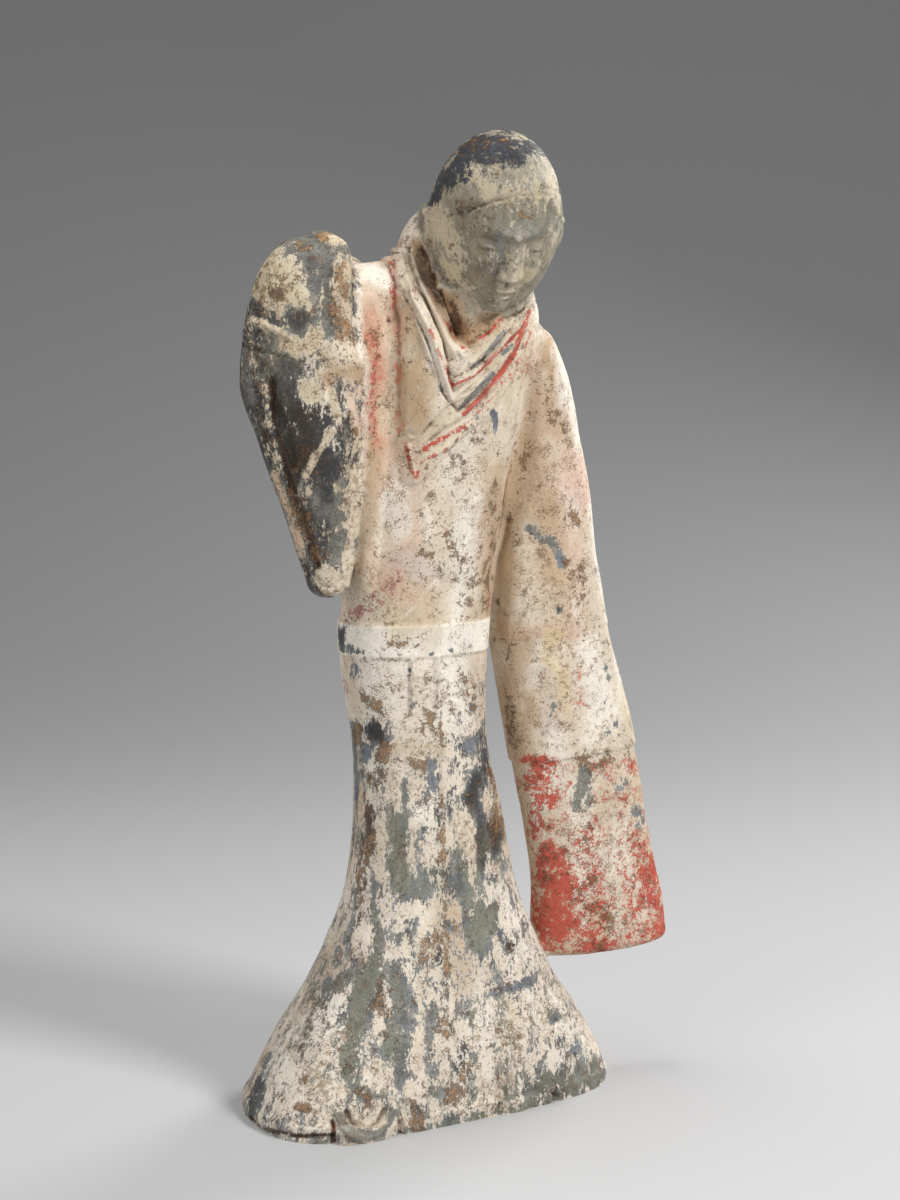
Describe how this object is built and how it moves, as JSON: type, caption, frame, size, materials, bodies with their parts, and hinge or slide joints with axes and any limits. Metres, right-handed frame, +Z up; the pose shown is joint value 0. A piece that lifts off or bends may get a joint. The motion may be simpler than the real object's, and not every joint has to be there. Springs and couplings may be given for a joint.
{
  "type": "pottery dancer figure",
  "caption": "Standing earthenware sleeve dancer in crossed robes and flaring skirt, one long sleeve raised, the other hanging, with flaking painted slip.",
  "frame": {"origin": "middle of the flat underside of the skirt's hem", "axes": "+Z up the figure, -Y the way she faces, +X her left, the side of the hanging sleeve"},
  "size_m": [0.2596, 0.173, 0.533],
  "materials": {
    "painted_earthenware": "grey earthenware under worn white slip with remains of red, blue and black pigment and burial soil"
  },
  "bodies": {
    "root": {"dancer_figure": "painted_earthenware"}
  },
  "joints": []
}
